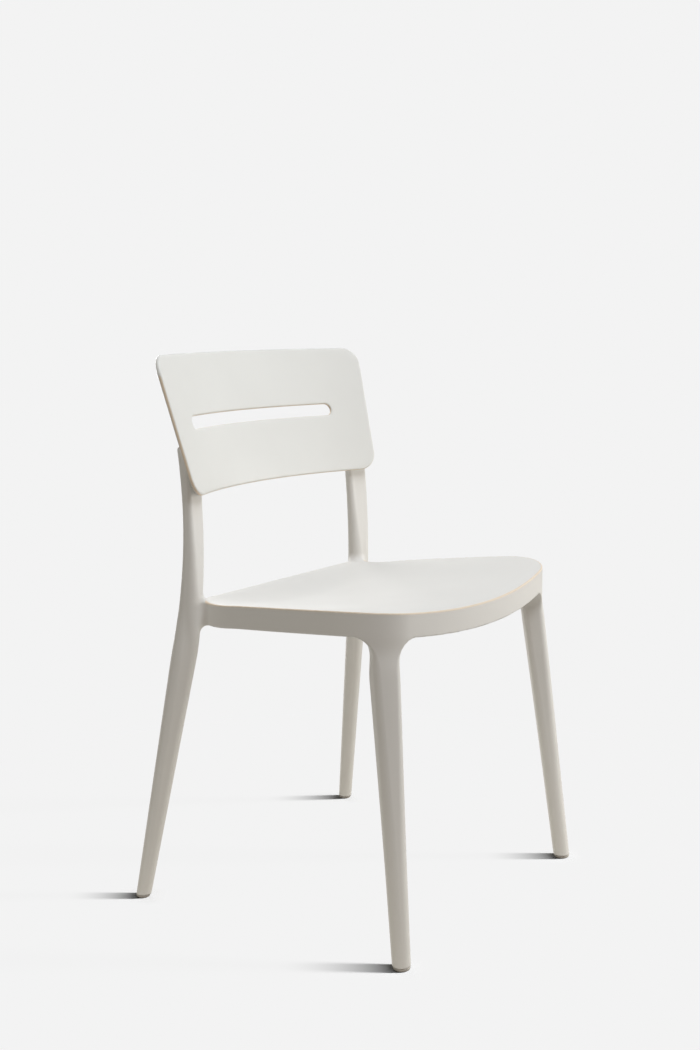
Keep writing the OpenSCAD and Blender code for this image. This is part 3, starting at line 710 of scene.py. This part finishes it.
# Over the front face from the slot outward, round the outer edge, back over the rear face and
# through the slot
add_face(0.0, np.linspace(0, 1, FACE_RINGS))
add_round(plate_outline, at_front=True, from_face=True)
add_round(plate_outline, at_front=False, from_face=False)
add_face(BACK_T, np.linspace(1, 0, FACE_RINGS))
add_round(slot_outline, at_front=False, from_face=True)
add_round(slot_outline, at_front=True, from_face=False)
panel_points = np.concatenate(rings)
panel_faces = grid_faces(len(rings), len(rings[0]), close_rows=True)
# The painted edge shade ends in the height of one corner radius, so that the upper edge, lit from
# above, is plain
up_corner = (panel_points[:, 2] - BACK_TOP_Z + 1.5 * BACK_TOP_CORNER_R) / BACK_TOP_CORNER_R
plain_top = NO_SHADE * smooth(up_corner)
panel_gap = np.stack([np.concatenate(ring_gaps), plain_top, 0 * plain_top], -1)
panel = add_mesh("backrest", panel_points, panel_faces, back_plastic, edge_shade_gap=panel_gap)
flip = bmesh.new()
flip.from_mesh(panel.data)
bmesh.ops.recalc_face_normals(flip, faces=flip.faces)
flip.to_mesh(panel.data)
flip.free()
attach(panel, "root")
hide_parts("backrest_panel")

# ---------------------------------------------------------------- small pieces

# Inset from the side of the leg, and height, bottom to top
GLIDE_PROFILE = ((2.6, 0), (1.9, 0.15), (1.35, 0.6), (1.0, 1.4), (0.6, 3.2), (0.9, 3.8), (1.5, 4.6))


def lathe(name, profile, material, sides=64):
    """A turned piece about local Z through (radius, height) points, bottom to top."""
    points, faces = [], []
    for r, h in profile:
        for k in range(sides):
            a = 2 * math.pi * k / sides
            points.append((r * math.cos(a), r * math.sin(a), h))
    faces = grid_faces(len(profile), sides)
    low, high = len(points), len(points) + 1
    points += [(0, 0, profile[0][1]), (0, 0, profile[-1][1])]
    last = (len(profile) - 1) * sides
    for k in range(sides):
        faces.append((low, (k + 1) % sides, k))
        faces.append((high, last + k, last + (k + 1) % sides))
    return add_mesh(name, points, faces, material)


def glide(name, node, foot, leg_w):
    """A foot glide with a turned lip, under the leg that stands at foot."""
    low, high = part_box(node)
    profile = [(leg_w / 2 - inset, height) for inset, height in GLIDE_PROFILE]
    piece = lathe(name, profile, glide_plastic)
    x, y = foot
    piece.location = ((x if high.x > 0 else -x) * MM, y * MM, low.z)
    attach(piece, "root")
    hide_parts(node)


for end, foot, leg_w in (("front", FRONT_FOOT, FRONT_FOOT_W), ("rear", REAR_FOOT, REAR_FOOT_W)):
    for side in ("left", "right"):
        glide(f"{end}_{side}_foot_glide", f"{end}_{side}_glide", foot, leg_w)

CAD_MATERIALS = {"screw": screw_steel, "pad": pad_rubber, "cap": cap_plastic}
for name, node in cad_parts.items():
    material = CAD_MATERIALS.get(name.split("_")[-1])
    if material:
        node.data.materials.clear()
        node.data.materials.append(material)

# ---------------------------------------------------------------- floor and background

# Half the floor's width, and how far it lies under the feet so that the two never coincide
FLOOR_HALF, FLOOR_DROP = 30, 0.0004
BACKGROUND = 0.896
ROOM_LIGHT = (0.170, 0.129, 0.082)
# Radiance of a white floor under the lamps and the room, and under the low key light alone
LAMPS_ON_FLOOR, KEY_ON_FLOOR = 0.98, 6.0
FLOOR_LIGHT = LAMPS_ON_FLOOR + KEY_ON_FLOOR
# What the floor gives back to the chair, as if the key light were not there
FLOOR_COLOUR = [c * LAMPS_ON_FLOOR / FLOOR_LIGHT for c in (0.30, 0.29, 0.28)]
# The key light comes from the right of the picture and throws short streaks from the feet
KEY_FROM = np.array([0.574, -0.819])
KEY_RISE, KEY_ANGLE = math.radians(24), math.radians(7)
# Share of plain background in the floor: in the streaks, elsewhere, and far away
STREAK_FADE, FLOOR_FADE, FAR_FADE = 0.0, 0.98, 1.0
NEAR_R, FAR_R = 0.42, 0.85
# A streak starts to thin this far from the middle of its foot, and ends a length further on
STREAK_START, STREAK_POWER = 0.014, 2.0
STREAK_HALF_W, STREAK_EDGE = 0.010, 0.034
# Side and foot, and the length of the streak there
STREAKS = (
    (-1, FRONT_FOOT, 0.158),
    (1, FRONT_FOOT, 0.113),
    (-1, REAR_FOOT, 0.102),
    (1, REAR_FOOT, 0.130),
)


def from_point(tree, place, operation, x, y):
    """A vector operation between a place on the floor and a fixed vector."""
    node = tree.nodes.new("ShaderNodeVectorMath")
    node.operation = operation
    tree.links.new(place, node.inputs[0])
    node.inputs[1].default_value = (x, y, 0)
    return node.outputs["Vector" if operation == "SUBTRACT" else "Value"]


def streak(tree, place, x, y, length):
    """1 at a foot, less along its streak of shadow, and 0 elsewhere."""
    gap = from_point(tree, place, "SUBTRACT", x * MM, y * MM)
    along = from_point(tree, gap, "DOT_PRODUCT", -KEY_FROM[0], -KEY_FROM[1])
    across = from_point(tree, gap, "DOT_PRODUCT", -KEY_FROM[1], KEY_FROM[0])
    wide = tree.nodes.new("ShaderNodeMath")
    wide.operation = "ABSOLUTE"
    tree.links.new(across, wide.inputs[0])
    ahead = ramp(tree, along, STREAK_START, STREAK_START + length, 1, 0, "LINEAR")
    thinning = tree.nodes.new("ShaderNodeMath")
    thinning.operation = "POWER"
    tree.links.new(ahead, thinning.inputs[0])
    thinning.inputs[1].default_value = STREAK_POWER
    beside = ramp(tree, wide.outputs["Value"], STREAK_HALF_W, STREAK_EDGE, 1, 0)
    behind = ramp(tree, along, -STREAK_EDGE, -STREAK_HALF_W, 0, 1)
    within = combine(tree, "MULTIPLY", thinning.outputs["Value"], beside)
    return combine(tree, "MULTIPLY", within, behind)


def shader_mix(tree, share, first, second, target):
    """A mix of two shaders, share of it the second, into the surface of the target node."""
    mixer = tree.nodes.new("ShaderNodeMixShader")
    tree.links.new(share, mixer.inputs["Fac"])
    tree.links.new(first, mixer.inputs[1])
    tree.links.new(second, mixer.inputs[2])
    tree.links.new(mixer.outputs["Shader"], tree.nodes[target].inputs["Surface"])


def pale_floor():
    """A matt floor that fades into the background for the camera, except in the streaks."""
    material = bpy.data.materials.new("pale_floor")
    material.use_nodes = True
    tree = material.node_tree
    tree.nodes.remove(tree.nodes["Principled BSDF"])
    for_camera = tree.nodes.new("ShaderNodeLightPath").outputs["Is Camera Ray"]
    colour = colour_mix(tree, for_camera, FLOOR_COLOUR, [BACKGROUND / FLOOR_LIGHT] * 3)
    matt = tree.nodes.new("ShaderNodeBsdfDiffuse")
    tree.links.new(colour, matt.inputs["Color"])
    glow = tree.nodes.new("ShaderNodeEmission")
    glow.inputs["Color"].default_value = plain([BACKGROUND] * 3)
    place = own_place(tree)
    streaks = [streak(tree, place, side * x, y, length) for side, (x, y), length in STREAKS]
    shade = streaks[0]
    for other in streaks[1:]:
        shade = combine(tree, "MAXIMUM", shade, other)
    by_foot = ramp(tree, shade, 0, 1, FLOOR_FADE, STREAK_FADE, "LINEAR")
    distance = from_point(tree, place, "DISTANCE", 0, 0)
    far_off = ramp(tree, distance, NEAR_R, FAR_R, 0.0, FAR_FADE)
    fade = combine(tree, "MULTIPLY", for_camera, combine(tree, "MAXIMUM", by_foot, far_off))
    shader_mix(tree, fade, matt.outputs["BSDF"], glow.outputs["Emission"], "Material Output")
    return material


def studio_world():
    """A dim warm room for the light, and the plain background for the camera and mirrors."""
    world = bpy.data.worlds.new("studio")
    world.use_nodes = True
    tree = world.node_tree
    sky = tree.nodes["Background"]
    sky.inputs["Color"].default_value = plain(ROOM_LIGHT)
    sky.inputs["Strength"].default_value = 1.0
    seen = tree.nodes.new("ShaderNodeBackground")
    seen.inputs["Color"].default_value = plain([BACKGROUND] * 3)
    seen.inputs["Strength"].default_value = 1.0
    path = tree.nodes.new("ShaderNodeLightPath")
    shown_to = path.outputs["Is Camera Ray"]
    for ray in ("Is Glossy Ray", "Is Transmission Ray"):
        shown_to = combine(tree, "MAXIMUM", shown_to, path.outputs[ray])
    shader_mix(tree, shown_to, sky.outputs["Background"], seen.outputs["Background"],
               "World Output")
    return world


floor_corners = [(-FLOOR_HALF, -FLOOR_HALF, 0), (FLOOR_HALF, -FLOOR_HALF, 0),
                 (FLOOR_HALF, FLOOR_HALF, 0), (-FLOOR_HALF, FLOOR_HALF, 0)]
floor_mesh = bpy.data.meshes.new("floor")
floor_mesh.from_pydata(floor_corners, [], [(0, 1, 2, 3)])
floor = bpy.data.objects.new("floor", floor_mesh)
floor.location.z = -FLOOR_DROP
bpy.context.scene.collection.objects.link(floor)
floor.data.materials.append(pale_floor())
bpy.context.scene.world = studio_world()

# ---------------------------------------------------------------- lamps

def softbox(name, place, aim, width, height, radiance, colour):
    """A rectangular lamp of the given radiance, in metres."""
    data = bpy.data.lights.new(name, "AREA")
    data.shape = "RECTANGLE"
    data.size, data.size_y = width, height
    data.energy = radiance * math.pi * width * height
    data.color = colour
    lamp = bpy.data.objects.new(name, data)
    lamp.location = place
    lamp.rotation_euler = (Vector(place) - Vector(aim)).to_track_quat("Z", "Y").to_euler()
    lamp.visible_camera = False
    bpy.context.scene.collection.objects.link(lamp)


# Place, aim, width, height, radiance and colour; the floor bounce shines up from the floor
AIM = (0, 0, 0.5)
softbox("overhead_box", (0, -1.27, 3.17), AIM, 1.6, 1.6, 6.88, (0.952, 1.0, 1.067))
softbox("top_box", (0.1, -0.2, 3.2), AIM, 1.6, 1.6, 0.80, (0.60, 1.02, 1.38))
softbox("side_box", (1.0, -1.0, 0.52), AIM, 1.0, 0.8, 2.77, (1.01, 1.0, 0.957))
softbox("high_side_box", (1.9, -1.6, 1.3), AIM, 1.4, 1.4, 0.80, (0.91, 1.02, 1.07))
softbox("left_box", (-2.2, 1.0, 0.9), AIM, 1.4, 1.4, 1.09, (0.93, 1.02, 1.05))
softbox("back_box", (1.0, 2.2, 1.0), AIM, 1.4, 1.4, 5.53, (0.993, 1.002, 1.005))
softbox("floor_bounce", (0, 0, 0.004), (0, 0, 1), 1.2, 1.2, 0.355, (1.034, 1.008, 0.896))

# The low key light falls on the floor alone, and gives the feet their streaks of shadow
key_data = bpy.data.lights.new("low_key", "SUN")
key_data.energy = KEY_ON_FLOOR * math.pi / math.sin(KEY_RISE)
key_data.angle = KEY_ANGLE
key = bpy.data.objects.new("low_key", key_data)
key_way = Vector((*(KEY_FROM * math.cos(KEY_RISE)), math.sin(KEY_RISE)))
key.rotation_euler = key_way.to_track_quat("Z", "Y").to_euler()
bpy.context.scene.collection.objects.link(key)
lit_by_key = bpy.data.collections.new("lit_by_key")
lit_by_key.objects.link(floor)
key.light_linking.receiver_collection = lit_by_key

# ---------------------------------------------------------------- finish

bpy.context.scene.view_settings.view_transform = "Standard"
